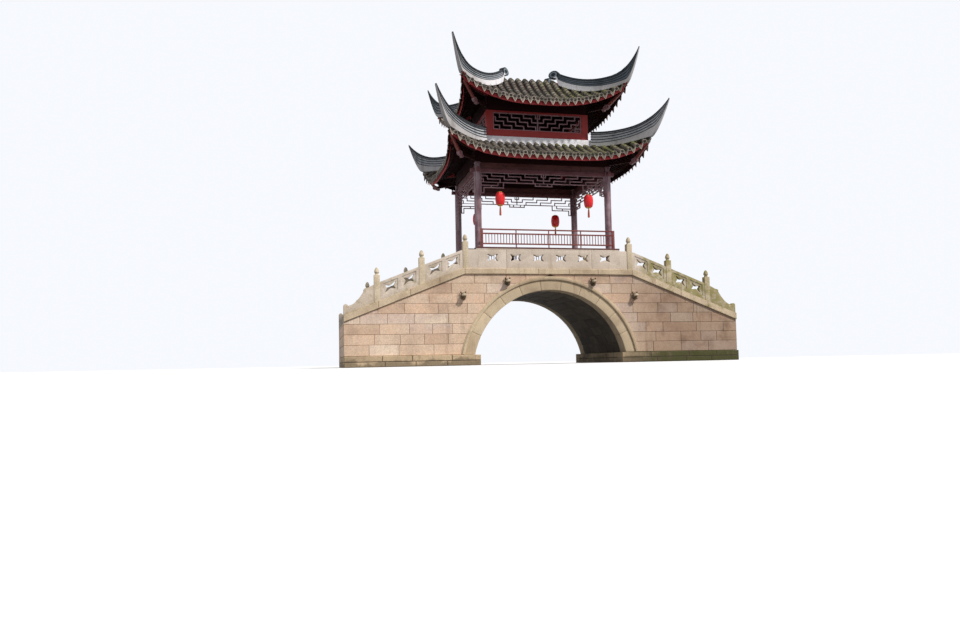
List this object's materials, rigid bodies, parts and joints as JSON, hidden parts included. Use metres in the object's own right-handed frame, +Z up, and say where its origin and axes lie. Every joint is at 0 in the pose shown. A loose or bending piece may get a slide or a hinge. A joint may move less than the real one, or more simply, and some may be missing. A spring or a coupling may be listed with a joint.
{
  "type": "moon bridge with pavilion",
  "caption": "Arched stone garden bridge with stepped ramps, pierced parapets and a double-eaved timber pavilion on its crown.",
  "frame": {"origin": "middle of the bridge at the waterline, under the crown of the arch", "axes": "+X along the bridge to the right, +Y across it away from the front, +Z up"},
  "size_m": [12.44, 6.1624, 9.8884],
  "materials": {
    "ashlar": "dressed granite ashlar, pinkish tan, blocks of varied tone",
    "arch_stone": "dressed granite, pale pinkish cream",
    "barrel_stone": "damp dark granite",
    "footing_stone": "granite with algae at the waterline",
    "pale_stone": "dressed granite, pale cream, yellow-green lichen to the right",
    "step_stone": "worn granite",
    "carved_stone": "carved granite, weathered",
    "column_paint": "painted timber, purple maroon",
    "beam_paint": "painted timber, dark maroon",
    "red_paint": "painted timber, brick red",
    "lattice_paint": "painted timber, faded mauve pink",
    "roof_tile": "unglazed grey tile with moss",
    "ridge_tile": "grey tile and lime plaster",
    "plaster": "lime plaster, streaked",
    "iron": "blackened iron",
    "lantern_red": "red silk over ribs"
  },
  "bodies": {
    "root": {"abutment_left": "ashlar", "abutment_right": "ashlar", "arch_barrel": "barrel_stone", "arch_ring_front": "arch_stone", "arch_ring_back": "arch_stone", "hood_moulds": "arch_stone", "footings": "footing_stone", "kerbs": "pale_stone", "steps_left": "step_stone", "steps_right": "step_stone", "parapet_front_centre": "pale_stone", "parapet_front_left": "pale_stone", "parapet_front_right": "pale_stone", "parapet_back_centre": "pale_stone", "parapet_back_left": "pale_stone", "parapet_back_right": "pale_stone", "newel_posts": "pale_stone", "scroll_stones": "pale_stone", "spout_heads": "carved_stone", "pavilion_floor": "step_stone", "seat_copings": "pale_stone", "seat_boards": "beam_paint", "railing_front": "beam_paint", "railing_back": "beam_paint", "column_bases": "step_stone", "columns": "column_paint", "lintels": "beam_paint", "column_heads": "beam_paint", "eaves_beams": "beam_paint", "tie_beams": "beam_paint", "valance_front": "lattice_paint", "valance_back": "lattice_paint", "valance_left": "lattice_paint", "valance_right": "lattice_paint", "lower_roof": "roof_tile", "lower_ridges": "ridge_tile", "eaves_boards": "red_paint", "corner_beams": "red_paint", "plaster_band": "plaster", "upper_frame": "red_paint", "upper_lattices": "lattice_paint", "upper_beams": "beam_paint", "upper_roof": "roof_tile", "upper_ridges": "ridge_tile", "lantern_hooks": "iron"},
    "lantern_front_left": {"lantern_front_left": "lantern_red"},
    "lantern_front_right": {"lantern_front_right": "lantern_red"},
    "lantern_back_left": {"lantern_back_left": "lantern_red"},
    "lantern_back_right": {"lantern_back_right": "lantern_red"}
  },
  "joints": [
    {"name": "swing_front_left", "type": "hinge", "parent": "root", "child": "lantern_front_left", "pos_m": [-1.436, -1.664, 5.975], "axis": [0, 1, 0], "range_deg": [-12, 12]},
    {"name": "swing_front_right", "type": "hinge", "parent": "root", "child": "lantern_front_right", "pos_m": [1.436, -1.664, 5.975], "axis": [0, 1, 0], "range_deg": [-12, 12]},
    {"name": "swing_back_left", "type": "hinge", "parent": "root", "child": "lantern_back_left", "pos_m": [-1.436, 1.664, 5.975], "axis": [0, 1, 0], "range_deg": [-12, 12]},
    {"name": "swing_back_right", "type": "hinge", "parent": "root", "child": "lantern_back_right", "pos_m": [1.436, 1.664, 5.975], "axis": [0, 1, 0], "range_deg": [-12, 12]}
  ]
}
